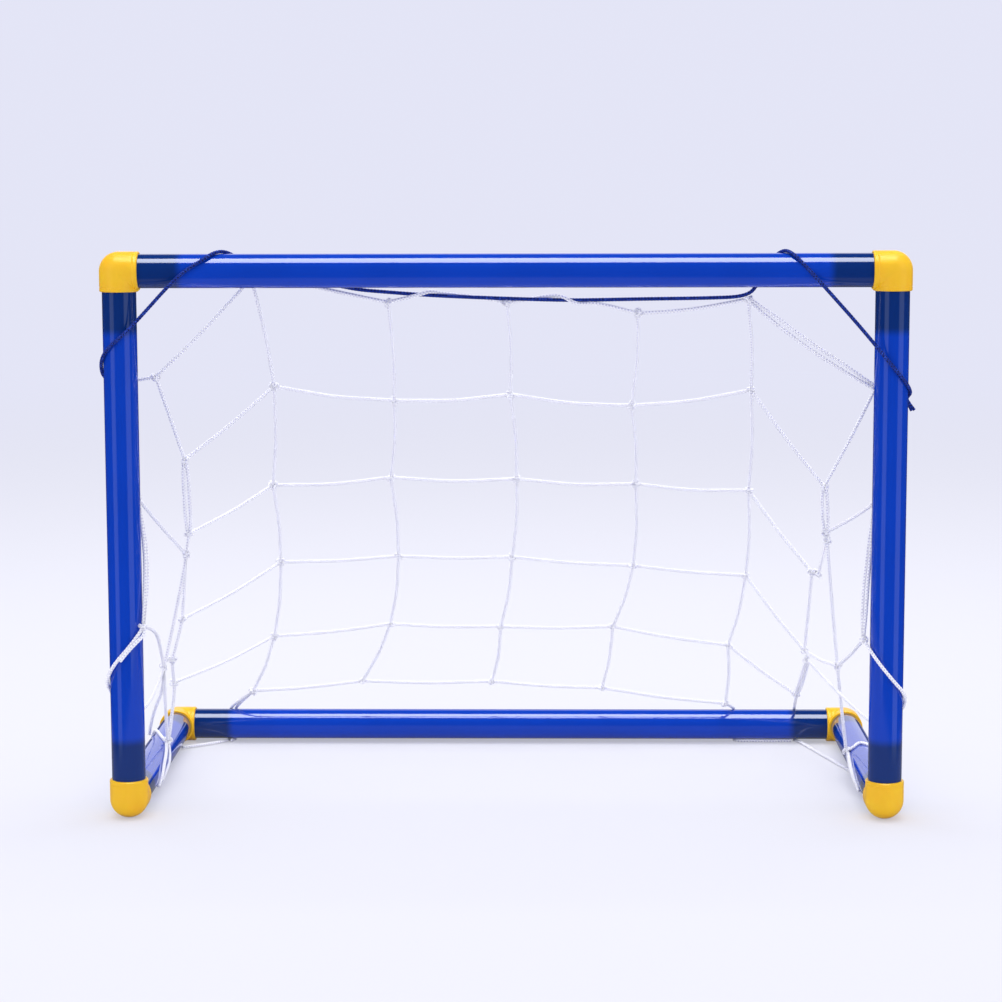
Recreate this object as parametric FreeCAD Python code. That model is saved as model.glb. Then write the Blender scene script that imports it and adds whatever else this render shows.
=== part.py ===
"""Small hockey goal: tubes pushed on corner elbows, with a knotted net laced to the crossbar.

Millimetres. The origin is on the floor, midway between the posts and midway between the front
and the rear of the frame. +X runs to the right seen from the playing side, +Y from the goal
mouth to the rear bar, +Z up.
"""
import FreeCAD, Part
import math
import os

Vector = FreeCAD.Vector

# Tubes: cut lengths, outside size and wall
long_tube_length = 535.0
post_length = 364.0
side_tube_length = 235.0
tube_diameter = 25.0
tube_wall = 1.2

# Elbows: the moulded corner pieces
collar_step = 1.8
elbow_mouth = 0.7
spigot_length = 30.0
spigot_wall = 2.0
spigot_clearance = 0.1
spigot_lead_in = 1.2
seat_gap = 0.05
collar_bevel = 0.6
lip_width = 3.0
groove_width = 1.0
groove_depth = 0.2

# Net and lacing cord
net_cord_diameter = 2.4
lacing_diameter = 3.0
knot_diameter = 6.0
lacing_knot_diameter = 6.4
cord_gap = 0.2
loop_gap = 0.6
flattened_thickness = 1.5
flattened_width = 2.6
floor_run_off = 6.0
branch_clear = 12.0
fan_steps = 5

# Largest share by which a swept cord may differ from its section times its length
volume_tolerance = 0.01

# Share of the shorter run that a bend takes up
bend_share = 0.45

# Share of its first cord at which the second cord of the left foot loop leaves it
branch_share = 0.3

# Derived sizes of the frame
tube_radius = tube_diameter / 2
tube_bore_radius = tube_radius - tube_wall
elbow_radius = tube_radius + collar_step
elbow_leg = elbow_radius + elbow_mouth
spigot_radius = tube_bore_radius - spigot_clearance
elbow_bore_radius = spigot_radius - spigot_wall
corner_reach = elbow_leg + seat_gap
half_width = long_tube_length / 2 + corner_reach
frame_depth = side_tube_length + 2 * corner_reach
frame_height = post_length + 2 * corner_reach
front_y = -frame_depth / 2
base_z = elbow_radius

# Derived sizes of the cords
net_cord_radius = net_cord_diameter / 2
lacing_radius = lacing_diameter / 2
knot_radius = knot_diameter / 2
lacing_knot_radius = lacing_knot_diameter / 2
knot_reach = knot_radius + cord_gap / 2
loop_off = tube_radius + net_cord_radius + loop_gap
lacing_off = tube_radius + lacing_radius + cord_gap
lacing_knot_reach = lacing_knot_radius + cord_gap / 2
hang = knot_radius + lacing_radius + cord_gap / 2
knot_off = tube_radius + knot_radius + cord_gap / 2
wrap_knot_off = knot_off + flattened_thickness + cord_gap / 2
top_knot_back = lacing_off + lacing_radius
floor_cord_z = net_cord_radius + cord_gap
floor_cord_off = math.sqrt(loop_off ** 2 - (base_z - floor_cord_z) ** 2)

right = Vector(1, 0, 0)
rearward = Vector(0, 1, 0)
upward = Vector(0, 0, 1)


def place(across, behind, above):
    """Point of the net, in shares of the half width, the depth and the height of the frame."""
    return Vector(across * half_width, front_y + behind * frame_depth, base_z + above * frame_height)


def places(*shares):
    """Several points of the net."""
    return [place(*share) for share in shares]


def top_place(across, above):
    """Point of the net's upper border, which hangs just behind the crossbar."""
    return Vector(across * half_width, front_y + top_knot_back, base_z + above * frame_height)


def corner(side, end, level):
    """Crossing point of the tube axes: side -1 or 1, end 0 front or 1 rear, level 0 foot or 1 top."""
    return Vector(side * half_width, front_y + end * frame_depth, base_z + level * frame_height)


def save(node, solids):
    """Write one sub-part, made of one solid or of several separate ones."""
    shape = solids[0] if len(solids) == 1 else Part.makeCompound(solids)
    for solid in shape.Solids:
        if not solid.isValid():
            raise ValueError(node + " holds a faulty solid")
    shape.exportStep("parts/" + node + ".step")


def tube(start, direction, length):
    """Plain cut length of pipe."""
    outside = Part.makeCylinder(tube_radius, length, start, direction)
    bore = Part.makeCylinder(tube_bore_radius, length, start, direction)
    return outside.cut(bore)


def elbow_leg_solid(direction):
    """One leg of an elbow at the origin: body, lip with its groove, collar face and spigot."""
    groove_end = elbow_leg - lip_width
    groove_start = groove_end - groove_width
    tip = elbow_leg + spigot_length
    outline = [
        (0.0, 0.0),
        (elbow_radius, 0.0),
        (elbow_radius, groove_start),
        (elbow_radius - groove_depth, groove_start + groove_width / 2),
        (elbow_radius, groove_end),
        (elbow_radius, elbow_leg - collar_bevel),
        (elbow_radius - collar_bevel, elbow_leg),
        (spigot_radius, elbow_leg),
        (spigot_radius, tip - spigot_lead_in),
        (spigot_radius - spigot_lead_in, tip),
        (0.0, tip),
        (0.0, 0.0),
    ]
    points = [Vector(radius, 0, along) for radius, along in outline]
    profile = Part.Face(Part.makePolygon(points))
    leg = profile.revolve(Vector(0, 0, 0), upward, 360)
    leg.Placement = FreeCAD.Placement(Vector(0, 0, 0), FreeCAD.Rotation(upward, direction))
    return leg


def elbow(centre, first, second):
    """Hollow corner piece with a ball-shaped outside corner and two spigots."""
    body = Part.makeSphere(elbow_radius)
    hollow = Part.makeSphere(elbow_bore_radius)
    bore_length = elbow_leg + spigot_length
    for direction in (first, second):
        body = body.fuse(elbow_leg_solid(direction))
        hollow = hollow.fuse(Part.makeCylinder(elbow_bore_radius, bore_length, Vector(0, 0, 0), direction))
    piece = body.cut(hollow).removeSplitter()
    piece.translate(centre)
    return piece


def knot(centre, radius=knot_radius):
    """Ball that stands for one knot."""
    return Part.makeSphere(radius, centre)


def strand(start, end, offset=None, start_reach=knot_reach, end_reach=knot_reach):
    """Straight cord between two knots, clear of both by half the cord gap."""
    shift = offset or Vector(0, 0, 0)
    line = (end - start).normalize()
    first = start + line * start_reach + shift
    last = end - line * end_reach + shift
    return Part.makeCylinder(net_cord_radius, (last - first).Length, first, last - first)


def double_strand(start, end, facing):
    """Two cords side by side between two knots, spread across the facing direction."""
    spread = (end - start).cross(facing).normalize() * (net_cord_radius + cord_gap / 2)
    return [strand(start, end, spread), strand(start, end, spread * -1)]


def run_of_strands(stops):
    """One cord that goes through a list of knots, as the stretches between them."""
    return [strand(start, end) for start, end in zip(stops, stops[1:])]


def bent_cord(stops, radius, start_reach, end_reach):
    """Cord along straight runs joined by tangent arcs, each as large as its two runs allow."""
    edges = []
    stops = list(stops)
    stops[0] = stops[0] + (stops[1] - stops[0]).normalize() * start_reach
    stops[-1] = stops[-1] + (stops[-2] - stops[-1]).normalize() * end_reach
    last = stops[0]
    for before, turn, after in zip(stops, stops[1:], stops[2:]):
        back = (before - turn)
        onward = (after - turn)
        half_turn = (math.pi - back.getAngle(onward)) / 2
        trim = bend_share * min(back.Length, onward.Length)
        bend_radius = trim / math.tan(half_turn)
        enter = turn + back.normalize() * trim
        leave = turn + onward.normalize() * trim
        inward = (back + onward).normalize()
        middle = turn + inward * (bend_radius / math.cos(half_turn) - bend_radius)
        edges.append(Part.LineSegment(last, enter).toShape())
        edges.append(Part.Arc(enter, middle, leave).toShape())
        last = leave
    edges.append(Part.LineSegment(last, stops[-1]).toShape())
    path = Part.Wire(edges)
    section = Part.Wire(Part.Circle(stops[0], stops[1] - stops[0], radius).toShape())
    cord = path.makePipeShell([section], True, False)
    expected = math.pi * radius ** 2 * path.Length
    if abs(cord.Volume / expected - 1) > volume_tolerance:
        raise ValueError("the cord's volume differs from its section times its length")
    return cord


class Wrap:
    """Cord drawn flat round a side tube in a leaning plane, that meets the net in a knot."""

    def __init__(self, centre, lean, knot_side):
        self.centre = centre
        self.lean = math.radians(lean)
        self.slope = math.tan(self.lean)
        self.knot_place = self.beside(knot_side, wrap_knot_off)

    def beside(self, side, off):
        """Point of the leaning plane, off the tube's axis by a distance, in a direction across the tube."""
        across = side.normalize() * off
        return self.centre + across + rearward * (across.z * self.slope)

    def band(self):
        """The flattened cord, which the leaning plane cuts wider over and under the tube than beside it."""
        inner = tube_radius + cord_gap / 2
        outer = inner + flattened_thickness
        reach = 3 * tube_radius * (1 + self.slope)
        start = self.centre - rearward * reach
        shell = Part.makeCylinder(outer, 2 * reach, start, rearward)
        shell = shell.cut(Part.makeCylinder(inner, 2 * reach, start, rearward))
        normal = (rearward - upward * self.slope).normalize()
        width = flattened_width * math.sqrt(math.cos(self.lean))
        slab = Part.makeCylinder(reach, width, self.centre - normal * (width / 2), normal)
        return shell.common(slab)


def hook(foot, across, behind, above, off=knot_off):
    """Point beside a post, in the given direction from its axis and at a share of the frame's height."""
    return foot + (right * across + rearward * behind).normalize() * off + upward * (above * frame_height)


def post_loop(foot, start, turns, end, end_reach):
    """Cord from a knot beside a post, round the post as it falls, and on to a knot of the net."""
    stops = [start]
    for across, behind, above in turns:
        stops.append(foot + (right * across + rearward * behind) * loop_off + upward * (above * frame_height))
    stops.append(end)
    return bent_cord(stops, net_cord_radius, knot_reach, end_reach)


def lace_place(across, aside, behind, above, over):
    """Point of the lacing cord: shares of the half width and height, and offsets that clear a tube."""
    return Vector(across * half_width + aside, front_y + behind, base_z + above * frame_height + over)


def rear_tie(net_knot, across, landing):
    """Cord from a net knot over the rear bar, flat round its back and under it, then on along the floor."""
    bar = Vector(across, corner(1, 1, 0).y, base_z)
    round_off = tube_radius + net_cord_radius + cord_gap / 2
    rise = Vector(across, net_knot.y, net_knot.z) - bar
    touch_angle = math.atan2(rise.z, rise.y) - math.acos(round_off / rise.Length)
    touch = bar + (rearward * math.cos(touch_angle) + upward * math.sin(touch_angle)) * round_off
    hanging = strand(net_knot, touch, end_reach=net_cord_radius + cord_gap)

    inner = tube_radius + cord_gap / 2
    outer = inner + flattened_thickness
    side = bar - right * (flattened_width / 2)
    ring = Part.makeCylinder(outer, flattened_width, side, right)
    ring = ring.cut(Part.makeCylinder(inner, flattened_width, side, right))
    band_start = touch_angle - cord_gap / round_off
    band_end = -math.pi / 2
    fan = [side]
    for step in range(fan_steps + 1):
        angle = band_start + (band_end - band_start) * step / fan_steps
        fan.append(side + (rearward * math.cos(angle) + upward * math.sin(angle)) * (2 * outer))
    fan.append(side)
    wedge = Part.Face(Part.makePolygon(fan)).extrude(right * flattened_width)
    strip_corner = Vector(side.x, bar.y - flattened_width, bar.z - outer)
    strip = Part.makeBox(flattened_width, flattened_width, flattened_thickness, strip_corner)
    band = ring.common(wedge).fuse(strip).removeSplitter()

    floor_start = Vector(across, bar.y - floor_run_off, floor_cord_z)
    floor_end = Vector(landing.x, landing.y, floor_cord_z)
    on_floor = strand(floor_start, floor_end, start_reach=cord_gap, end_reach=cord_gap)
    return [hanging, band, on_floor]


os.makedirs("parts", exist_ok=True)

# Frame: six tubes and six elbows
front_left, front_right = corner(-1, 0, 0), corner(1, 0, 0)
top_left, top_right = corner(-1, 0, 1), corner(1, 0, 1)
rear_left, rear_right = corner(-1, 1, 0), corner(1, 1, 0)
save("crossbar", [tube(top_left + right * corner_reach, right, long_tube_length)])
save("rear_bar", [tube(rear_left + right * corner_reach, right, long_tube_length)])
save("left_post", [tube(front_left + upward * corner_reach, upward, post_length)])
save("right_post", [tube(front_right + upward * corner_reach, upward, post_length)])
save("left_side_tube", [tube(front_left + rearward * corner_reach, rearward, side_tube_length)])
save("right_side_tube", [tube(front_right + rearward * corner_reach, rearward, side_tube_length)])
save("elbow_top_left", [elbow(top_left, right, upward * -1)])
save("elbow_top_right", [elbow(top_right, right * -1, upward * -1)])
save("elbow_front_left", [elbow(front_left, upward, rearward)])
save("elbow_front_right", [elbow(front_right, upward, rearward)])
save("elbow_rear_left", [elbow(rear_left, rearward * -1, right)])
save("elbow_rear_right", [elbow(rear_right, rearward * -1, right * -1)])

# Back panel of the net: knots across, behind and above, row by row from the crossbar down
row_top = [top_place(-0.662, 0.985), top_place(-0.304, 0.944), top_place(0.007, 0.937),
           top_place(0.34, 0.929), top_place(0.641, 0.947)]
row_a = places((-0.623, 0.226, 0.777), (-0.301, 0.234, 0.749), (0.011, 0.226, 0.761),
               (0.336, 0.234, 0.739), (0.655, 0.226, 0.769))
row_b = places((-0.648, 0.419, 0.569), (-0.322, 0.419, 0.584), (0.025, 0.419, 0.581),
               (0.354, 0.419, 0.571), (0.665, 0.419, 0.558))
row_c = places((-0.648, 0.611, 0.398), (-0.312, 0.604, 0.411), (0.011, 0.604, 0.409),
               (0.354, 0.611, 0.391), (0.673, 0.611, 0.371))
row_d = places((-0.687, 0.792, 0.226), (-0.347, 0.777, 0.254), (-0.025, 0.777, 0.249),
               (0.301, 0.777, 0.249), (0.637, 0.792, 0.208))
row_e = places((-0.765, 0.928, 0.091), (-0.439, 0.921, 0.114), (-0.053, 0.917, 0.114),
               (0.273, 0.925, 0.099), (0.641, 0.943, 0.063))
rows = [row_top, row_a, row_b, row_c, row_d, row_e]

# Wraps of the net round the side tubes: place, lean in degrees, side on which the knot sits
left_wrap = Wrap(place(-1, 0.5, 0), 73, Vector(0.77, 0, 0.64))
right_wrap = Wrap(place(1, 0.377, 0), 71, Vector(-0.87, 0, 0.5))

# Knots of the left side panel
left_upper = place(-0.931, 0.06, 0.799)
left_second = place(-0.857, 0.151, 0.637)
left_third = place(-0.86, 0.208, 0.503)
left_fourth = place(-0.867, 0.226, 0.462)
left_fifth = place(-0.892, 0.321, 0.307)
left_sixth = place(-0.927, 0.358, 0.226)
left_low = place(-0.927, 0.472, 0.168)
left_hook = hook(front_left, 1, 0.7, 0.571)
left_post_knot = hook(front_left, 0.92, -0.38, 0.331, wrap_knot_off)

# Knots of the right side panel
right_hook = hook(front_right, -1, 1.2, 0.779)
right_second = place(0.85, 0.17, 0.584)
right_third = place(0.86, 0.211, 0.482)
right_third_hook = hook(front_right, -1, 0.7, 0.561)
right_fourth = place(0.842, 0.321, 0.398)
right_fifth = place(0.839, 0.528, 0.211)
right_sixth = place(0.842, 0.792, 0.096)
right_eighth = place(0.906, 0.358, 0.216)
right_post_knot = hook(front_right, -1, 0.1, 0.306, wrap_knot_off)

# Lacing cord: from behind the left post, over the crossbar, along it and down to the right post
left_lace_knot = hook(front_left, 0.2, 1, 0.792, lacing_off + lacing_knot_radius)
right_lace_knot = hook(front_right, 1, 1, 0.761, lacing_off + lacing_diameter)
lace_stops = [
    left_lace_knot,
    lace_place(-1, -lacing_off, lacing_off, 0.797, 0),
    lace_place(-1, -lacing_off, -lacing_off, 0.84, 0),
    lace_place(-0.768, 0, -lacing_off, 1, lacing_off),
    lace_place(-0.729, 0, lacing_off, 1, lacing_off),
    lace_place(-0.418, 0, lacing_off, 0.965, 0),
    row_top[1] + upward * hang,
    row_top[2] + upward * hang,
    row_top[3] + upward * hang,
    row_top[4] + upward * hang,
    lace_place(0.708, 0, lacing_off, 1, lacing_off),
    lace_place(0.736, 0, -lacing_off, 1, lacing_off),
    lace_place(1, lacing_off, -lacing_off, 0.784, 0),
    lace_place(1, lacing_off, tube_radius / 2, 0.769, 0),
    right_lace_knot,
]
lace_end_stops = [
    right_lace_knot,
    hook(front_right, 0.36, 1, 0.769, lacing_off + lacing_knot_radius),
    right_hook,
]
save("lacing_cord", [
    bent_cord(lace_stops, lacing_radius, lacing_knot_reach, lacing_knot_reach),
    bent_cord(lace_end_stops, lacing_radius, lacing_knot_reach, knot_reach),
])
save("lacing_knots", [knot(left_lace_knot, lacing_knot_radius), knot(right_lace_knot, lacing_knot_radius)])

# Net: rows and columns of the back panel
save("net_top_border", run_of_strands(row_top))
for name, row in zip("abcde", rows[1:]):
    save("net_row_" + name, run_of_strands(row))
for column in range(len(row_top)):
    save("net_column_%d" % (column + 1), run_of_strands([row[column] for row in rows]))

# Net: left side panel
side_by_side = right * (net_cord_radius + cord_gap / 2)
save("net_left_cross_cords", [
    strand(left_second, row_a[0]),
    strand(left_third, row_b[0]),
    strand(left_fifth, row_c[0]),
    strand(left_low, row_d[0]),
])
left_mesh = [
    strand(row_top[0], left_upper),
    strand(left_upper, left_second),
    strand(left_upper, left_lace_knot, end_reach=lacing_knot_reach),
    strand(left_third, left_fourth),
    strand(left_fourth, left_fifth),
    strand(left_fourth, left_sixth, side_by_side * -2),
    strand(left_sixth, left_low, side_by_side),
]
left_mesh += double_strand(left_second, left_third, rearward)
left_mesh += double_strand(left_fifth, left_sixth, right)
save("net_left_mesh_cords", left_mesh)
left_post = [
    strand(left_fourth, left_hook),
    strand(left_sixth, left_post_knot, start_reach=knot_reach + net_cord_radius),
]
left_post += double_strand(left_hook, left_post_knot, right)
save("net_left_post_cords", left_post)
branch = left_sixth + (left_wrap.knot_place - left_sixth) * branch_share - side_by_side
over_tube = left_wrap.beside(Vector(-0.6, 0, 0.8), loop_off + flattened_thickness)
save("net_left_foot_cords", [
    strand(left_sixth, left_wrap.knot_place, side_by_side * -1),
    strand(left_low, left_wrap.knot_place, side_by_side, start_reach=knot_reach + cord_gap),
    strand(branch, over_tube, start_reach=branch_clear, end_reach=0),
])

# Net: right side panel
save("net_right_cross_cords", [
    strand(right_second, row_a[4]),
    strand(right_fourth, row_b[4]),
    strand(right_fifth, row_c[4]),
    strand(right_sixth, row_d[4]),
])
right_mesh = [
    strand(right_third, right_eighth),
    strand(right_fourth, right_fifth),
    strand(right_fifth, right_eighth),
]
right_mesh += double_strand(right_second, right_third, rearward)
right_mesh += double_strand(right_fifth, right_sixth, rearward)
save("net_right_mesh_cords", right_mesh)
right_post = [
    strand(right_hook, right_second),
    strand(right_third, right_third_hook),
    strand(right_eighth, right_post_knot),
]
right_post += double_strand(row_top[4], right_hook, rearward)
right_post += double_strand(right_third_hook, right_post_knot, right)
save("net_right_post_cords", right_post)
save("net_right_foot_cords", [strand(right_eighth, right_wrap.knot_place)])

# Net: knots, loops round the posts and wraps round the side tubes
left_knots = [left_upper, left_second, left_third, left_fourth, left_fifth, left_sixth, left_low, left_hook,
              left_post_knot, left_wrap.knot_place]
right_knots = [right_hook, right_second, right_third, right_third_hook, right_fourth, right_fifth,
               right_sixth, right_eighth, right_post_knot, right_wrap.knot_place]
save("net_back_knots", [knot(centre) for row in rows for centre in row])
save("net_left_knots", [knot(centre) for centre in left_knots])
save("net_right_knots", [knot(centre) for centre in right_knots])
left_turns = [(0.8, -1, 0.318), (-1, -1, 0.252), (-1, 1, 0.194), (0.9, 1, 0.148)]
right_turns = [(-1, -1, 0.273), (1, -1, 0.217), (1, 1, 0.148), (-0.75, 1, 0.124)]
beside_one = knot_reach + net_cord_radius
beside_two = knot_reach + 2 * net_cord_diameter
save("left_post_loop", [post_loop(front_left, left_post_knot, left_turns, left_sixth, beside_one)])
save("right_post_loop", [post_loop(front_right, right_post_knot, right_turns, right_fifth, beside_two)])
save("left_side_tube_wrap", [left_wrap.band()])
save("right_side_tube_wrap", [right_wrap.band()])

# Net: ties round the back of the rear bar, led along the floor to the nearest side tube
beside_tube = right * floor_cord_off
save("rear_ties_left", rear_tie(row_e[0], place(-0.839, 0, 0).x, place(-1, 0.85, 0) + beside_tube))
outer_tie_x = place(0.853, 0, 0).x
inner_tie_x = place(0.673, 0, 0).x
outer_tie_floor = Vector(outer_tie_x - net_cord_diameter, rear_right.y - floor_run_off, base_z)
save("rear_ties_right", rear_tie(row_e[4], inner_tie_x, outer_tie_floor)
     + rear_tie(right_sixth, outer_tie_x, place(1, 0.55, 0) - beside_tube))
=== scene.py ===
import bpy
import math
import numpy as np
from mathutils import Matrix, Vector


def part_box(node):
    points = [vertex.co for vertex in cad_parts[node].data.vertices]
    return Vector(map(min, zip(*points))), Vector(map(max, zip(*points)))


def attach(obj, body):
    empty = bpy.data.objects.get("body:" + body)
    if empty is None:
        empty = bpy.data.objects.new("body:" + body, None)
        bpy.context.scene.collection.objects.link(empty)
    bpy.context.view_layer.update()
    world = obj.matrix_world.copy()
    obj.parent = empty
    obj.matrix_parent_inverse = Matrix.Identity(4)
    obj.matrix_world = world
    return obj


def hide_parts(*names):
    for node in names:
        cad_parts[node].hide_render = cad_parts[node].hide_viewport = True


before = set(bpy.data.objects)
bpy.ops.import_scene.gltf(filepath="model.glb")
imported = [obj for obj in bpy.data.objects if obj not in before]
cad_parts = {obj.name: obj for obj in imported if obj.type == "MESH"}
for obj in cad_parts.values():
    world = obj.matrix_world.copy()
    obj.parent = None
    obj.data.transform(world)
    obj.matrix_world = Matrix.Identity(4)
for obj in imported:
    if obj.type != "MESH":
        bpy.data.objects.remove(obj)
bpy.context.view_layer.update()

scene = bpy.context.scene
bpy.ops.object.select_all(action="DESELECT")

# The table the goal stands on. A seamless white paper sweep, laid flat and wide, that goes from
# near white under the goal to a pale lilac where it turns up behind. In mirror images it ends half a
# metre from the goal, so that the tubes show the dark room beyond. It isn't part of the goal.
paper_near = (0.90, 0.90, 0.97, 1)
paper_far = (0.775, 0.785, 0.925, 1)
paper_radius = 14.0
paper_turns_lilac = (0.7, 4.2)
paper_ends_in_mirrors = (0.50, 0.62)
light_thrown_back = 0.78
own_light_near = 0.42
light_in_mirrors = 0.26


def fill(tree, node, sockets):
    """Each named socket of a shader node is set to its value, or joined to another node's output."""
    for name, value in sockets.items():
        if isinstance(value, bpy.types.NodeSocket):
            tree.links.new(value, node.inputs[name])
        else:
            node.inputs[name].default_value = value


def add(tree, kind, sockets=None, **settings):
    """A new shader node of one kind, with its settings and its sockets filled. Gives its outputs."""
    node = tree.nodes.new("ShaderNode" + kind)
    for name, value in settings.items():
        setattr(node, name, value)
    fill(tree, node, sockets or {})
    return node.outputs


def ramp(tree, value, low, high, curve="SMOOTHSTEP"):
    """0 at the low value and before it, 1 at the high one and beyond."""
    sockets = {"Value": value, "From Min": low, "From Max": high}
    return add(tree, "MapRange", sockets, interpolation_type=curve)["Result"]


def maths(tree, operation, *values):
    """What one operation makes of up to three numbers."""
    return add(tree, "Math", dict(enumerate(values)), operation=operation)["Value"]


def product(tree, first, second):
    """Two numbers multiplied."""
    return maths(tree, "MULTIPLY", first, second)


def either(tree, share, first, second):
    """The first shader, or by a share the second."""
    return add(tree, "MixShader", {"Fac": share, 1: first, 2: second})["Shader"]


def between(tree, share, first, second):
    """The first colour, or by a share the second."""
    return add(tree, "Mix", {"Factor": share, "A": first, "B": second}, data_type="RGBA")["Result"]


bpy.ops.mesh.primitive_circle_add(vertices=96, radius=paper_radius, fill_type="NGON", location=(0, 0, 0))
paper = bpy.context.object
paper.name = "paper"
paper_stuff = bpy.data.materials.new("paper")
paper_stuff.use_nodes = True
tree = paper_stuff.node_tree
tree.nodes.clear()
reach = add(tree, "VectorMath", {0: add(tree, "TexCoord")["Object"]}, operation="LENGTH")["Value"]
fade = ramp(tree, reach, *paper_turns_lilac)
tone = between(tree, fade, paper_near, paper_far)
dimmed = add(tree, "VectorMath", {0: tone, "Scale": light_thrown_back}, operation="SCALE")["Vector"]
matt = add(tree, "BsdfDiffuse", {"Color": dimmed})["BSDF"]
glow = add(tree, "Emission", {"Color": tone})["Emission"]
share = add(tree, "MapRange", {"Value": fade, "To Min": own_light_near, "To Max": 1.0})["Result"]
ray = add(tree, "LightPath")
seen = either(tree, product(tree, ray["Is Camera Ray"], share), matt, glow)
mirrored = add(tree, "Emission", {"Color": tone, "Strength": light_in_mirrors})["Emission"]
ended = ramp(tree, reach, *paper_ends_in_mirrors, curve="LINEAR")
in_mirrors = either(tree, ended, mirrored, add(tree, "BsdfTransparent")["BSDF"])
add(tree, "OutputMaterial", {"Surface": either(tree, ray["Is Glossy Ray"], seen, in_mirrors)})
paper.data.materials.append(paper_stuff)

# The light in the room. Soft light comes from all round. Mirror images show a dark room with a tall
# window of light on either side, the pale sweep low down behind, and a round softbox overhead. They draw
# the stripes down the posts and the white line along the crossbar.
soft_light = (0.89, 0.90, 1.0, 1)
soft_strength = 0.95
room_dark = (0.03, 0.035, 0.06, 1)
window_light = (0.50, 0.58, 0.66, 1)
left_window = (-60, -31)
right_window = (39, 76)
window_softness = 2.5
sweep_strength = 1.1
sweep_begins_back = (0.70, 0.88)
sweep_begins_up = (0.0, 0.05)
softbox_light = (0.93, 0.96, 1.0, 1)
softbox_strength = 9
softbox_way = (0.0, -0.242, 0.970)
softbox_edge = (0.935, 0.962)

room = bpy.data.worlds.new("room")
scene.world = room
room.use_nodes = True
tree = room.node_tree
tree.nodes.clear()
way = add(tree, "TexCoord")["Generated"]
parts = add(tree, "SeparateXYZ", {0: way})
bearing = maths(tree, "ARCTAN2", parts["X"], product(tree, parts["Y"], -1))


def background(colour, strength=1.0):
    """One light of the room."""
    return add(tree, "Background", {"Color": colour, "Strength": strength})["Background"]


def window(first, last):
    """1 between two bearings in degrees, counted from straight in front to the right."""
    first_edge = [math.radians(first - window_softness), math.radians(first + window_softness)]
    last_edge = [math.radians(last + window_softness), math.radians(last - window_softness)]
    return product(tree, ramp(tree, bearing, *first_edge), ramp(tree, bearing, *last_edge))


windows = maths(tree, "ADD", window(*left_window), window(*right_window))
dark_room = background(between(tree, windows, room_dark, window_light))
far_back = ramp(tree, parts["Y"], *sweep_begins_back)
off_floor = ramp(tree, parts["Z"], *sweep_begins_up)
sweep = background(paper_far, sweep_strength)
low_part = either(tree, product(tree, far_back, off_floor), dark_room, sweep)
overhead = add(tree, "VectorMath", {0: way, 1: softbox_way}, operation="DOT_PRODUCT")["Value"]
softbox = background(softbox_light, softbox_strength)
in_mirrors = either(tree, ramp(tree, overhead, *softbox_edge), low_part, softbox)
ray = add(tree, "LightPath")
not_camera = either(tree, ray["Is Glossy Ray"], background(soft_light, soft_strength), in_mirrors)
whole = either(tree, ray["Is Camera Ray"], not_camera, background(paper_far))
add(tree, "OutputWorld", {"Surface": whole})


def panel(name, place, aim, width, height, watts):
    """A lamp with a flat rectangular face, that doesn't show in mirror images."""
    lamp = bpy.data.lights.new(name, "AREA")
    lamp.shape = "RECTANGLE"
    lamp.size = width
    lamp.size_y = height
    lamp.energy = watts
    holder = bpy.data.objects.new(name, lamp)
    scene.collection.objects.link(holder)
    turn = (Vector(aim) - Vector(place)).to_track_quat("-Z", "Y")
    holder.matrix_world = Matrix.Translation(place) @ turn.to_matrix().to_4x4()
    holder.visible_glossy = False


panel("overhead_soft", (0.0, 0.3, 2.4), aim=(0, 0, 0.2), width=2.4, height=1.4, watts=35)
panel("left_panel", (-2.0, -1.35, 0.75), aim=(0, 0, 0.25), width=0.8, height=1.9, watts=4.5)
panel("right_panel", (2.0, -1.35, 0.75), aim=(0, 0, 0.25), width=1.0, height=1.9, watts=5)
scene.view_settings.view_transform = "Standard"

# The camera. It stands nearly square on to the goal, a little above the crossbar.
camera_place = (0.0284, -2.0349, 0.4810)
turned_left = 0.952
tipped_down = 7.251
leaning = -0.124
camera_data = bpy.data.cameras.new("camera")
camera_data.lens = 93.41
camera_data.sensor_width = 36
camera = bpy.data.objects.new("camera", camera_data)
scene.collection.objects.link(camera)
camera.matrix_world = (Matrix.Translation(camera_place)
                       @ Matrix.Rotation(math.radians(turned_left), 4, "Z")
                       @ Matrix.Rotation(math.radians(90 - tipped_down), 4, "X")
                       @ Matrix.Rotation(math.radians(leaning), 4, "Z"))
scene.camera = camera

# Tubes. Extruded blue plastic pipe, glossy and a little see-through, cut to three lengths.
# Where an elbow's plug sits inside, the wall looks darker: that band ends softly at each tube end.
tube_blue = (0.002, 0.050, 0.48)
tube_plug_blue = (0.002, 0.027, 0.165, 1)
deeper_share = 0.86
paler_share = 1.14
plug_depth = 0.030
band_softness = 0.004
lines_across = 160
lines_along = 6


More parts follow.
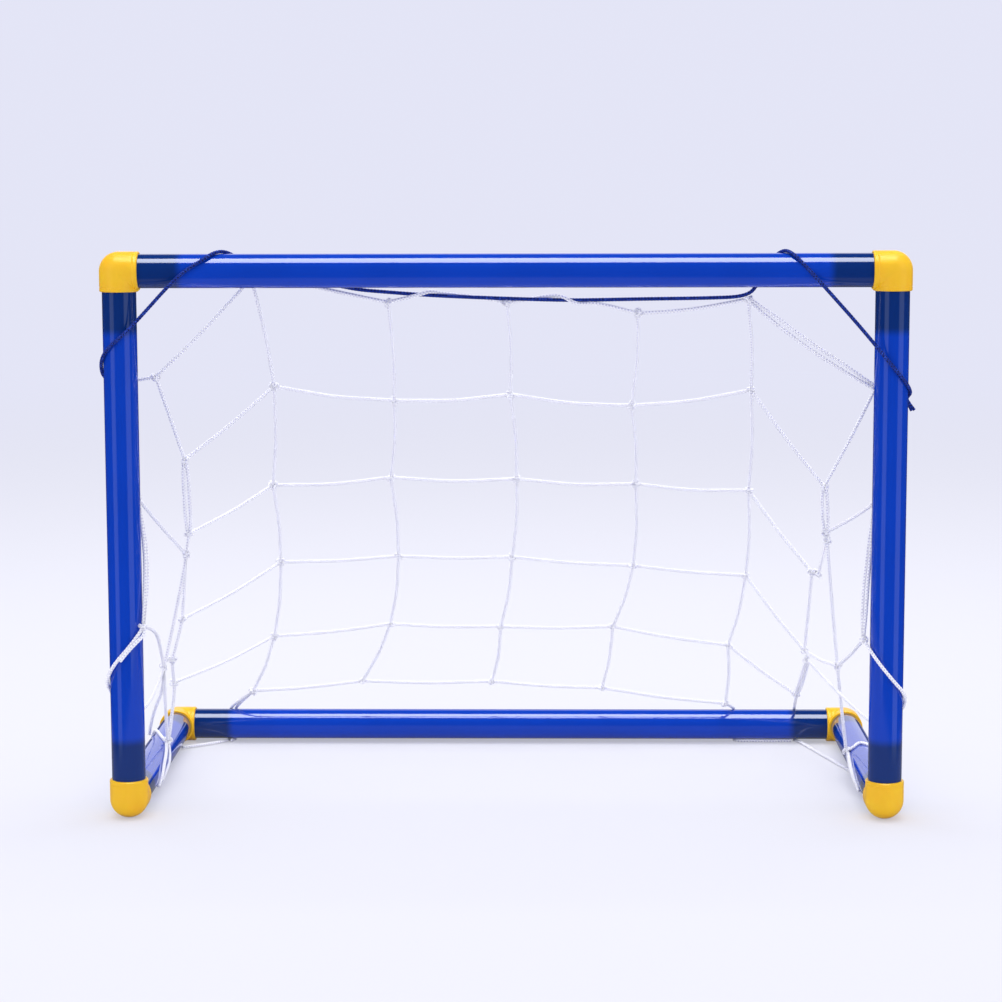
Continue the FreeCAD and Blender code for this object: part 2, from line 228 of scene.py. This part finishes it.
def tube_plastic(name, axis, first_end, last_end):
    """Glossy blue with faint lines drawn along it, and a darker band over the plug at either end."""
    stuff = bpy.data.materials.new(name)
    stuff.use_nodes = True
    tree = stuff.node_tree
    spot = add(tree, "TexCoord")["Object"]
    along = add(tree, "SeparateXYZ", {0: spot})[axis]
    first_plug = first_end + plug_depth
    last_plug = last_end - plug_depth
    past_first_plug = ramp(tree, along, first_plug - band_softness, first_plug + band_softness)
    before_last_plug = ramp(tree, along, last_plug + band_softness, last_plug - band_softness)
    clear = product(tree, past_first_plug, before_last_plug)
    cloud = add(tree, "TexNoise", {"Vector": spot, "Scale": 14, "Detail": 2})["Fac"]
    deeper = tuple(channel * deeper_share for channel in tube_blue) + (1,)
    paler = tuple(channel * paler_share for channel in tube_blue) + (1,)
    body = between(tree, cloud, deeper, paler)
    drawn_out = tuple(lines_along if i == axis else lines_across for i in range(3))
    stretched = add(tree, "Mapping", {"Vector": spot, "Scale": drawn_out})["Vector"]
    lines = add(tree, "TexNoise", {"Vector": stretched, "Scale": 1.0, "Detail": 3})["Fac"]
    relief = add(tree, "Bump", {"Height": lines, "Strength": 0.06, "Distance": 0.0002})["Normal"]
    fill(tree, tree.nodes["Principled BSDF"], {
        "Base Color": between(tree, clear, tube_plug_blue, body), "Roughness": 0.10, "IOR": 1.5,
        "Coat Weight": 0.6, "Coat Roughness": 0.05, "Normal": relief})
    return stuff


def dress(node, stuff):
    """A piece from the CAD, given its material."""
    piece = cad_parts[node]
    piece.data.materials.clear()
    piece.data.materials.append(stuff)


for node, axis in (("crossbar", 0), ("rear_bar", 0), ("left_post", 2), ("right_post", 2),
                   ("left_side_tube", 1), ("right_side_tube", 1)):
    low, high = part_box(node)
    dress(node, tube_plastic(node + "_plastic", axis, low[axis], high[axis]))

# Elbows. Six moulded corner pieces of yellow plastic, pushed into the tube ends. Each has a ball
# corner, a lip at either mouth, and a fine parting line where the two mould halves met.
elbow_yellow = (1.0, 0.58, 0.012, 1)
elbow_shade = (0.98, 0.51, 0.008, 1)
seam_crest = 0.0001
seam_foot = 0.0004
grain_share = 0.12


def elbow_plastic(name, seam_axis, seam_place):
    """Yellow with a cloudy tone, a fine grain and the raised parting line."""
    stuff = bpy.data.materials.new(name)
    stuff.use_nodes = True
    tree = stuff.node_tree
    spot = add(tree, "TexCoord")["Object"]
    cloud = add(tree, "TexNoise", {"Vector": spot, "Scale": 35, "Detail": 3})["Fac"]
    tone = between(tree, ramp(tree, cloud, 0.3, 0.6, curve="LINEAR"), elbow_shade, elbow_yellow)
    across = add(tree, "SeparateXYZ", {0: spot})[seam_axis]
    off_seam = maths(tree, "ABSOLUTE", maths(tree, "SUBTRACT", across, seam_place))
    seam = add(tree, "MapRange", {"Value": off_seam, "From Min": seam_crest, "From Max": seam_foot,
                                  "To Min": 1, "To Max": 0})["Result"]
    grain = add(tree, "TexNoise", {"Vector": spot, "Scale": 500})["Fac"]
    height = maths(tree, "MULTIPLY_ADD", grain, grain_share, seam)
    relief = add(tree, "Bump", {"Height": height, "Strength": 0.25, "Distance": 0.0003})["Normal"]
    fill(tree, tree.nodes["Principled BSDF"], {
        "Base Color": tone, "Roughness": 0.34, "IOR": 1.48,
        "Subsurface Weight": 0.12, "Subsurface Radius": (1.0, 0.5, 0.1), "Subsurface Scale": 0.003,
        "Normal": relief})
    return stuff


for node, seam_axis in (("elbow_top_left", 1), ("elbow_top_right", 1), ("elbow_front_left", 0),
                        ("elbow_front_right", 0), ("elbow_rear_left", 2), ("elbow_rear_right", 2)):
    low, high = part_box(node)
    radius = min(high[i] - low[i] for i in range(3)) / 2
    seam_place = low[seam_axis] + radius
    dress(node, elbow_plastic(node + "_plastic", seam_axis, seam_place))

# Net. White braided cord, about 2.7 mm, tied by hand into a wide mesh. The knots are set out row by
# row from the crossbar to the rear bar, then down each side. Places are in millimetres.
cord_radius = 0.00134
strands = 2
braid_lay = 0.0048
ring_spacing = 0.0004
ring_points = 12
hollow_size = 0.80
strand_size = 0.24
net_knots = {
    "t1": (-187.0, -117.3, 402.5), "t2": (-86.5, -117.3, 384.8), "t3": (1.3, -117.3, 384.0),
    "t4": (97.7, -117.3, 376.5), "t5": (178.5, -117.3, 386.7),
    "a1": (-176.0, -72.6, 319.0), "a2": (-85.0, -70.5, 308.0), "a3": (3.1, -72.6, 312.7),
    "a4": (94.9, -70.5, 304.0), "a5": (185.1, -72.6, 315.9),
    "b1": (-183.1, -21.5, 237.5), "b2": (-91.0, -21.5, 243.5), "b3": (7.1, -21.5, 242.3),
    "b4": (100.0, -21.5, 238.3), "b5": (187.9, -21.5, 233.2),
    "c1": (-183.1, 29.4, 169.0), "c2": (-88.2, 27.6, 174.1), "c3": (3.1, 27.6, 173.3),
    "c4": (100.0, 29.4, 166.2), "c5": (190.2, 29.4, 158.3),
    "d1": (-194.1, 77.4, 99.8), "d2": (-98.0, 73.4, 110.8), "d3": (-7.1, 73.4, 108.8),
    "d4": (85.0, 73.4, 108.8), "d5": (180.0, 77.4, 92.7),
    "e1": (-216.2, 113.5, 46.6), "e2": (-124.0, 111.6, 55.6), "e3": (-15.0, 110.5, 55.6),
    "e4": (77.1, 112.7, 49.7), "e5": (181.1, 117.4, 35.5),
    "l1": (-259.0, -116.6, 329.5), "l2": (-242.1, -92.5, 265.3), "l3": (-241.9, -77.4, 207.0),
    "l4": (-245.1, -72.6, 190.5), "l5": (-252.4, -47.5, 135.7), "l6": (-262.4, -37.6, 101.5),
    "l6 low": (-268.3, -44.0, 97.5), "l7": (-265.6, -7.4, 77.6), "lh": (-273.8, -118.9, 239.3),
    "lp": (-268.4, -139.8, 146.0), "lw": (-273.4, 6.2, 27.4), "lb": (-279.1, -115.5, 326.4),
    "r1": (272.6, -120.6, 321.3), "r2": (239.6, -87.5, 244.0), "r3": (242.5, -76.6, 207.6),
    "r3 low": (243.4, -76.6, 201.6), "rh": (273.6, -118.9, 235.4), "r4": (235.3, -47.5, 172.8),
    "r4 side": (240.2, -47.5, 171.2), "r5": (235.8, 7.4, 101.3), "r5 low": (238.4, 7.4, 93.6),
    "r6": (236.8, 77.4, 51.2), "r8": (257.0, -37.6, 97.6), "rp": (265.2, -130.8, 134.9),
    "rw": (269.3, 0.0, 21.5), "rb": (294.9, -120.4, 314.6),
}
knot_at = {name: Vector(place) / 1000 for name, place in net_knots.items()}


def smooth_line(stops):
    """The smooth line that a cord follows, read back from a curve through its stops."""
    curve = bpy.data.curves.new("line", "CURVE")
    curve.dimensions = "3D"
    curve.resolution_u = 16
    spline = curve.splines.new("NURBS")
    spline.points.add(len(stops) - 1)
    for point, stop in zip(spline.points, stops):
        point.co = (*stop, 1)
    spline.order_u = 3
    spline.use_endpoint_u = True
    holder = bpy.data.objects.new("line", curve)
    scene.collection.objects.link(holder)
    mesh = bpy.data.meshes.new_from_object(holder)
    line = np.array([vertex.co for vertex in mesh.vertices], float)
    bpy.data.objects.remove(holder)
    bpy.data.curves.remove(curve)
    bpy.data.meshes.remove(mesh)
    return line


def braid(stops, radius):
    """Rings of a braided cord, and how proud each point of them is: strands wind both ways and cross."""
    line = smooth_line(stops)
    reach = np.concatenate([[0], np.cumsum(np.linalg.norm(np.diff(line, axis=0), axis=1))])
    count = max(4, int(reach[-1] / ring_spacing))
    at = np.linspace(0, reach[-1], count)
    line = np.stack([np.interp(at, reach, line[:, k]) for k in range(3)], axis=1)
    ahead = np.gradient(line, axis=0)
    ahead /= np.linalg.norm(ahead, axis=1)[:, None]
    side = np.cross(ahead[0], (0.3, 0.5, 0.81))
    sides = np.empty((count, 3))
    for i in range(count):
        side = side - ahead[i] * side.dot(ahead[i])
        side /= np.linalg.norm(side)
        sides[i] = side
    others = np.cross(ahead, sides)
    turn = np.linspace(0, 2 * np.pi, ring_points, endpoint=False)[None, :]
    wind = (2 * np.pi * at / braid_lay)[:, None]
    proud = (np.maximum(np.cos(strands * (turn + wind)), np.cos(strands * (turn - wind))) + 1) / 2
    size = (radius * (hollow_size + strand_size * proud))[:, :, None]
    turned = np.cos(turn)[:, :, None] * sides[:, None, :] + np.sin(turn)[:, :, None] * others[:, None, :]
    return line[:, None, :] + turned * size, proud


def braided_piece(name, runs, radius, stuff, nodes_replaced, floor=None):
    """One object from several cords, each given by its stops."""
    verts, prouds, faces, first = [], [], [], 0
    for stops in runs:
        rings, proud = braid(stops, radius)
        count = len(rings)
        verts.append(rings.reshape(-1, 3))
        prouds.append(proud.reshape(-1))
        here = first + np.arange(count - 1)[:, None] * ring_points
        j = np.arange(ring_points)[None, :]
        k = (j + 1) % ring_points
        sides = np.stack([here + j, here + k, here + ring_points + k, here + ring_points + j], axis=2)
        faces += [tuple(face) for face in sides.reshape(-1, 4).tolist()]
        faces.append(tuple(first + j for j in reversed(range(ring_points))))
        faces.append(tuple(first + (count - 1) * ring_points + j for j in range(ring_points)))
        first += count * ring_points
    verts = np.concatenate(verts)
    if floor is not None:
        verts[:, 2] = np.maximum(verts[:, 2], floor)
    mesh = bpy.data.meshes.new(name)
    mesh.from_pydata(verts.tolist(), [], faces)
    mesh.attributes.new("proud", "FLOAT", "POINT").data.foreach_set("value", np.concatenate(prouds))
    mesh.update()
    mesh.shade_smooth()
    mesh.materials.append(stuff)
    piece = bpy.data.objects.new(name, mesh)
    scene.collection.objects.link(piece)
    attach(piece, "root")
    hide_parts(*nodes_replaced)


def braided_cotton(name, light, hollow_shade, speck, roughness, fuzz, glow_through):
    """Braided fibre: painted shade darkens the hollows between the strands, with the odd brighter fibre."""
    stuff = bpy.data.materials.new(name)
    stuff.use_nodes = True
    tree = stuff.node_tree
    weave = add(tree, "Attribute", attribute_name="proud")["Fac"]
    # Painted shade: the darker colour is laid into the hollows between the strands, where the proud value is
    # low.
    tone = between(tree, ramp(tree, weave, 0.35, 0.9, curve="LINEAR"), hollow_shade, light)
    spot = add(tree, "TexCoord")["Object"]
    fibre = add(tree, "TexNoise", {"Vector": spot, "Scale": 900, "Detail": 3})["Fac"]
    whole = between(tree, ramp(tree, fibre, 0.56, 0.68, curve="LINEAR"), tone, speck)
    relief = add(tree, "Bump", {"Height": fibre, "Strength": 0.3, "Distance": 0.0002})["Normal"]
    fill(tree, tree.nodes["Principled BSDF"], {
        "Base Color": whole, "Roughness": roughness, "Specular IOR Level": 0.25,
        "Sheen Weight": fuzz, "Sheen Roughness": 0.4, "Subsurface Weight": glow_through,
        "Subsurface Radius": (1.0, 1.0, 1.0), "Subsurface Scale": 0.0012, "Normal": relief})
    return stuff


# Its darker colour is painted shade for the hollows of the braid.
white_cord = braided_cotton("white_cord", light=(1.0, 1.0, 1.0, 1), hollow_shade=(0.66, 0.65, 0.77, 1),
                            speck=(1.0, 1.0, 1.0, 1), roughness=0.6, fuzz=0.7, glow_through=0.5)


def net_piece(name, node, runs, floor=None):
    """A piece of the white net, in place of a node of the frame."""
    braided_piece(name, runs, cord_radius, white_cord, [node], floor)


usual_sag = 0.012
middle_pull = 2
bend_place = 0.35
shift_at_knots = 0.4


def run(first, last, sag=usual_sag, bow=(0, 0, 0), aside=(0, 0, 0)):
    """A cord between two knots that hangs a little: its share of sag, and a bow in millimetres."""
    start, end = knot_at[first], knot_at[last]
    shift = Vector(aside) / 1000
    hang = Vector((0, 0, -sag * (end - start).length)) + Vector(bow) / 1000
    middle = (start + end) / 2 + hang * middle_pull
    return [start + shift * shift_at_knots, start.lerp(middle, bend_place) + shift, middle + shift,
            end.lerp(middle, bend_place) + shift, end + shift * shift_at_knots]


def pair(first, last, facing, gap=1.4, **shape):
    """Two cords side by side between two knots."""
    line = knot_at[last] - knot_at[first]
    spread = line.cross(Vector(facing)).normalized() * gap
    return [run(first, last, aside=spread, **shape), run(first, last, aside=-spread, **shape)]


def through(first, places, last=None):
    """A cord from a knot by way of places in millimetres, to another knot or to the last of them."""
    return [knot_at[first]] + [Vector(place) / 1000 for place in places] + ([knot_at[last]] if last else [])


# The back of the net: the upper border, which twists over and under the lacing cord, then five
# rows across and five columns down.
slack_row_sag = 0.015
tight_row_sag = 0.008
column_sag = 0.006
column_bow = (1.0, 0, 0)
net_piece("net_top_border_cord", "net_top_border", [
    through("t1", [(-150, -117.6, 398.5), (-118, -117.4, 391.0)], "t2"),
    through("t2", [(-72, -118.2, 388.0), (-62, -120.9, 390.8), (-55, -119.5, 393.0), (-48, -115.8, 391.2),
                   (-30, -114.6, 389.4), (-12, -115.6, 387.4)], "t3"),
    through("t3", [(16, -115.4, 386.6), (32, -115.4, 389.2), (42, -119.8, 389.4), (50, -120.4, 384.2),
                   (57, -117.4, 383.2), (64, -118.6, 384.2), (76, -118.2, 382.0)], "t4"),
    through("t4", [(118, -118.2, 377.2), (150, -118.2, 380.8)], "t5"),
])
for row in "abcde":
    sag = slack_row_sag if row in "ab" else tight_row_sag
    stretches = [run(row + left, row + right, sag) for left, right in zip("1234", "2345")]
    net_piece("net_row_%s_cord" % row, "net_row_" + row, stretches)
for column in "12345":
    stretches = [run(upper + column, lower + column, column_sag, bow=column_bow)
                 for upper, lower in zip("tabcd", "abcde")]
    net_piece("net_column_%s_cord" % column, "net_column_" + column, stretches)

# The sides of the net: the cords that lead from the back forward to each post and side tube. Down
# the inner side of either post two cords run together, bulging a little from the tube.
from_behind = (0, 1, 0)
from_beside = (1, 0, 0)
net_piece("net_left_cross_cord", "net_left_cross_cords",
          [run("l2", "a1"), run("l3", "b1"), run("l5", "c1"), run("l7", "d1")])
net_piece("net_left_mesh_cord", "net_left_mesh_cords", [
    run("t1", "l1", 0.01),
    run("l1", "l2", 0.0),
    run("l1", "lb", 0.0),
    run("l3", "l4", 0.0),
    run("l4", "l5", 0.0),
    run("l4", "l6 low", 0.0, aside=(1.0, 0, 0)),
    run("l6", "l7", 0.01),
    *pair("l2", "l3", from_behind, 2.0),
    *pair("l5", "l6", from_beside, 1.6),
])
net_piece("net_left_post_cord", "net_left_post_cords", [
    run("l4", "lh", 0.01),
    through("lp", [(-262.5, -128, 143), (-262.8, -95, 126)], "l6 low"),
    through("lh", [(-268.2, -126.2, 206), (-267.4, -134.0, 175)], "lp"),
    through("lh", [(-267.4, -123.0, 208), (-265.2, -131.6, 176)], "lp"),
])
net_piece("net_left_foot_cord", "net_left_foot_cords", [
    through("l6 low", [(-268.6, -40, 90), (-271.4, -15, 53)], "lw"),
    run("l7", "lw", 0.01, aside=(1.0, 0, 0)),
    through("l6 low", [(-269.0, -40, 89), (-272.6, -25, 74), (-282.2, 5, 56), (-290.5, 34, 38),
                       (-296.0, 56, 22)]),
])
net_piece("net_right_cross_cord", "net_right_cross_cords",
          [run("r2", "a5"), run("r4", "b5"), run("r5", "c5"), run("r6", "d5")])
net_piece("net_right_mesh_cord", "net_right_mesh_cords", [
    run("r3 low", "r8", 0.01),
    run("r4", "r5", 0.01),
    run("r5", "r8", 0.02),
    run("r3 low", "r4 side", 0.0),
    *pair("r2", "r3", from_behind, 2.0),
    *pair("r5 low", "r6", from_behind),
])
net_piece("net_right_post_cord", "net_right_post_cords", [
    run("r1", "r2", 0.01),
    run("r3", "rh", 0.01),
    run("r8", "rp", 0.01),
    through("rh", [(271.8, -122.5, 212), (268.0, -130.5, 178), (266.6, -133.2, 152)], "rp"),
    through("rh", [(270.4, -119.8, 214), (265.6, -127.6, 180), (263.8, -130.6, 152)], "rp"),
    *pair("t5", "r1", from_behind, 2.2),
])
net_piece("net_right_foot_cord", "net_right_foot_cords", [run("r8", "rw", 0.01)])

# Knots of the net. Each is the cord tied tight on itself, three turns that pass over and under.
# Where two cords meet in one place the knots sit in pairs.
knot_turns = [(2.1, 0.2, 0.0), (1.5, 1.6, 0.95), (-0.2, 0.9, 0.2), (-1.1, -0.4, -0.95), (-0.8, -2.1, 0.0),
              (0.9, -1.8, 0.95), (0.9, -0.2, 0.2), (-0.3, 0.9, -0.95), (-1.4, 1.7, 0.0), (-2.2, 0.1, 0.95),
              (-0.6, -0.9, 0.1), (0.9, -0.8, -0.95), (2.1, 0.2, 0.0)]
knot_size = 1.4
spin_step = 1.9
first_tip = 0.9
tip_step = 1.3


def tied(centre, number, size=knot_size):
    """The stops of one knot, turned another way for each number."""
    spin = Matrix.Rotation(number * spin_step, 3, "Z")
    turn = spin @ Matrix.Rotation(first_tip + number * tip_step, 3, "X")
    return [centre + turn @ (Vector(stop) * size / 1000) for stop in knot_turns]


def tied_knots(name, node, names):
    """All the knots of one side of the net."""
    net_piece(name, node, [tied(knot_at[knot], number) for number, knot in enumerate(names)])


tied_knots("net_back_tied_knots", "net_back_knots", [row + column for row in "tabcde" for column in "12345"])
tied_knots("net_left_tied_knots", "net_left_knots",
           ["l1", "l2", "l3", "l4", "l5", "l6", "l6 low", "l7", "lh", "lp", "lw"])
tied_knots("net_right_tied_knots", "net_right_knots",
           ["r1", "r2", "r3", "r3 low", "rh", "r4", "r4 side", "r5", "r5 low", "r6", "r8", "rp", "rw"])

# Loops round the posts. From the knot beside each post the cord falls round the front of the tube
# and behind it, and goes on to the side of the net. The left one is doubled across the front.
post_x = 282.55
front_y = -132.55


def round_post(side, first, stops, last=None):
    """A cord by way of places given as offsets across and behind a post's axis, and a height."""
    return through(first, [(side * post_x + x, front_y + y, z) for x, y, z in stops], last)


net_piece("left_post_loop_cord", "left_post_loop", [
    round_post(-1, "lp", [(10, -14.3, 138), (-14.1, -14.1, 110.8), (-14.1, 14.1, 89), (13, 14.4, 70)],
               "l6 low"),
    round_post(-1, "lp", [(16.6, -9.2, 141.5), (9.0, -15.6, 134.5), (1.2, -16.4, 126), (-2.2, -16.6, 121.5)]),
])
net_piece("right_post_loop_cord", "right_post_loop", [
    round_post(1, "rp", [(-10.5, -13.2, 124.4), (-3.1, -14.7, 114.8), (4.5, -14.3, 105.7), (11.4, -10.4, 98),
                         (14.9, -0.5, 89.7), (12.9, 9.5, 80), (4, 14.8, 71), (-9, 14.9, 65)], "r5 low"),
])

# Wraps round the side tubes, drawn tight so that the net can't slide. Where a cord passes under a
# tube the floor presses it flat.
foot_z = 14.3
wrap_radius = 13.9
pressed_off_floor = 0.0003


def round_tube(angle):
    """Offsets to the side and up, of a cord that lies on a tube, at an angle in degrees."""
    return wrap_radius * math.cos(math.radians(angle)), wrap_radius * math.sin(math.radians(angle))


def round_side_tube(side, stops):
    """Stops round a side tube, each an angle from the inner side by way of the top, and a place along it."""
    places = []
    for angle, along in stops:
        inward, up = round_tube(angle)
        places.append(Vector((side * (post_x - inward), front_y + along, foot_z + up)) / 1000)
    return places


net_piece("left_side_tube_wrap_cord", "left_side_tube_wrap", [
    round_side_tube(-1, [(53, 139), (80, 150), (112, 178), (144, 198), (190, 188), (235, 155), (280, 112),
                         (322, 82), (345, 92), (372, 124), (405, 138)]),
    round_side_tube(-1, [(55, 139), (36, 116), (22, 92), (0, 76), (-30, 66)]),
], floor=pressed_off_floor)
net_piece("right_side_tube_wrap_cord", "right_side_tube_wrap", [
    round_side_tube(1, [(30, 134), (50, 126), (75, 134), (100, 130), (140, 118), (190, 98), (240, 74),
                        (290, 60), (333, 60), (365, 92), (388, 126)]),
    round_side_tube(1, [(30, 132), (10, 112), (-12, 82), (-32, 58)]),
], floor=pressed_off_floor)

# Ties round the rear bar. From a low knot of the net the cord goes over the back of the bar and
# under it, then along the floor toward the side tube. The left one starts doubled.
rear_y = 132.55
bar_angles = (70, 25, -20, -65, -100)


def tie(knot, x, stops_on_floor):
    """A cord from a knot over the back of the rear bar, round it and out along the floor."""
    rounds = []
    for angle in bar_angles:
        behind_axis, up = round_tube(angle)
        rounds.append(Vector((x, rear_y + behind_axis, foot_z + up)) / 1000)
    start = knot_at[knot]
    return [start, start.lerp(rounds[0], 0.5)] + rounds + [Vector(stop) / 1000 for stop in stops_on_floor]


net_piece("rear_ties_left_cord", "rear_ties_left", [
    tie("e1", -239, [(-242, 122, 1.5), (-262, 104, 1.5), (-274.5, 95, 2)]),
    tie("e1", -234.5, [(-237, 124, 1.5)]),
], floor=pressed_off_floor)
net_piece("rear_ties_right_cord", "rear_ties_right", [
    tie("e5", 190, [(194, 126, 1.5), (238, 126.5, 1.5)]),
    tie("r6", 241, [(244, 125, 1.5), (262, 60, 1.5), (275, 12, 2)]),
], floor=pressed_off_floor)

# Lacing cord. Dark blue braid, about as thick as the net's, that runs from the left post over the
# crossbar, carries the top of the net along its back, and ends in a frayed knot at the right post.
lacing_radius = 0.00138
tightened_radius = lacing_radius * 0.8
# The darker blue is painted shade for the hollows of the braid.
navy_cord = braided_cotton("navy_cord", light=(0.006, 0.030, 0.29, 1), hollow_shade=(0.002, 0.006, 0.05, 1),
                           speck=(0.04, 0.11, 0.60, 1), roughness=0.7, fuzz=0.0, glow_through=0.0)
lacing_stops = [
    (-284.0, -117.8, 327.0), (-295.8, -119.0, 328.2), (-297.2, -130.0, 334.5), (-295.6, -139.5, 344.5),
    (-289.5, -145.6, 352.8), (-281.6, -147.0, 359.2), (-268.1, -147.4, 372.1), (-237.7, -147.4, 405.4),
    (-220.5, -145.6, 416.2), (-211.0, -137.5, 422.6), (-203.5, -127.0, 422.2), (-196.0, -119.0, 416.5),
    (-150.0, -118.0, 404.0), (-114.4, -117.6, 394.4), (-86.0, -117.4, 392.0), (-52.0, -117.9, 389.4),
    (-2.0, -118.2, 387.4), (36.0, -117.9, 386.2), (56.0, -117.9, 386.0), (98.0, -117.4, 386.8),
    (150.0, -117.4, 387.4), (178.0, -117.4, 388.6), (186.0, -118.2, 398.0), (195.0, -118.8, 415.5),
    (201.5, -127.0, 422.2), (206.5, -137.5, 422.6), (214.5, -145.8, 415.5), (249.9, -147.4, 376.5),
    (266.9, -147.4, 356.9), (284.6, -147.0, 335.4), (291.5, -143.8, 327.5), (295.6, -137.5, 321.5),
    (297.2, -129.0, 317.0),
]
lacing_run = through("lb", lacing_stops, "rb")
lacing_end = through("rb", [(288.4, -116.0, 317.4)], "r1")
braided_piece("lacing_cord_braid", [lacing_run, lacing_end], lacing_radius, navy_cord, ["lacing_cord"])
lacing_knots = [tied(knot_at["lb"], 3, size=1.2), tied(knot_at["rb"], 5, size=1.25)]
fray = [[(0.5, -1.5, -1.0), (3.0, -2.2, -5.5), (6.4, -2.0, -9.4)],
        [(0.2, -1.5, -1.0), (1.6, -2.6, -5.0), (4.2, -2.6, -9.9)],
        [(-1.0, -1.2, 4.5), (-2.4, -2.0, 0.5), (-0.6, -2.4, -4.2)]]
tails = [[knot_at["rb"] + Vector(stop) / 1000 for stop in tail] for tail in fray]
braided_piece("lacing_knots_tied", lacing_knots + tails, tightened_radius, navy_cord, ["lacing_knots"])
